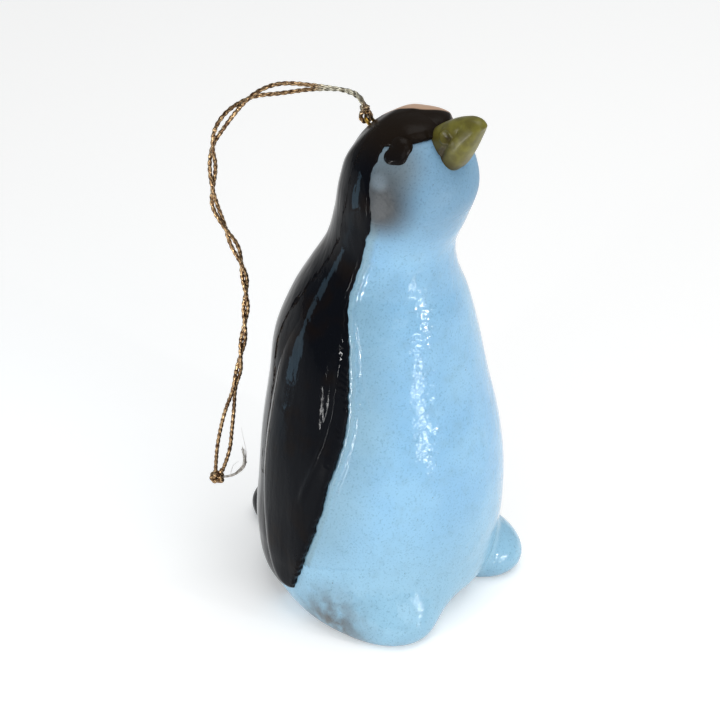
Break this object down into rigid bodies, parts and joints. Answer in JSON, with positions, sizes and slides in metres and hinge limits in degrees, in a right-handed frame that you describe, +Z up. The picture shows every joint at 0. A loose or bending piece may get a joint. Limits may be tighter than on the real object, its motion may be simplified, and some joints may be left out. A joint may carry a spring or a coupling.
{
  "type": "hanging penguin figurine",
  "caption": "Small glazed ceramic penguin that stands upright and looks up, with a metallic cord loop at the back of its head to hang it by.",
  "frame": {"origin": "on the flat base, under the middle of the body", "axes": "+Z up from the base to the crown, -Y the way the beak and feet point, -X the penguin's own right side"},
  "size_m": [0.048, 0.0531, 0.0988],
  "materials": {
    "white_glaze": "glossy clear glaze over white clay with fine dark specks",
    "black_glaze": "glossy thick black glaze",
    "olive_glaze": "glossy translucent olive yellow glaze",
    "brass_wire": "dull drawn wire",
    "gold_cord": "metallic gold thread twisted round a core",
    "pale_core": "soft frayed pale fibres"
  },
  "bodies": {
    "figurine": {"front_shell": "white_glaze", "back_shell": "black_glaze", "flipper_right": "black_glaze", "flipper_left": "black_glaze", "foot_right": "white_glaze", "foot_left": "white_glaze", "tail": "black_glaze", "beak_upper": "olive_glaze", "beak_lower": "olive_glaze", "eye_right": "black_glaze", "eye_left": "black_glaze", "hanging_eye": "brass_wire"},
    "cord_loop": {"cord_strand_upper": "gold_cord", "cord_strand_lower": "gold_cord", "hitch_knot": "gold_cord", "end_knot": "gold_cord", "frayed_ends": "pale_core"}
  },
  "joints": [
    {"name": "loop_swing", "type": "hinge", "parent": "figurine", "child": "cord_loop", "pos_m": [0, 0.00119, 0.0916], "axis": [0.766, 0.6428, 0], "range_deg": [0, 80]}
  ]
}
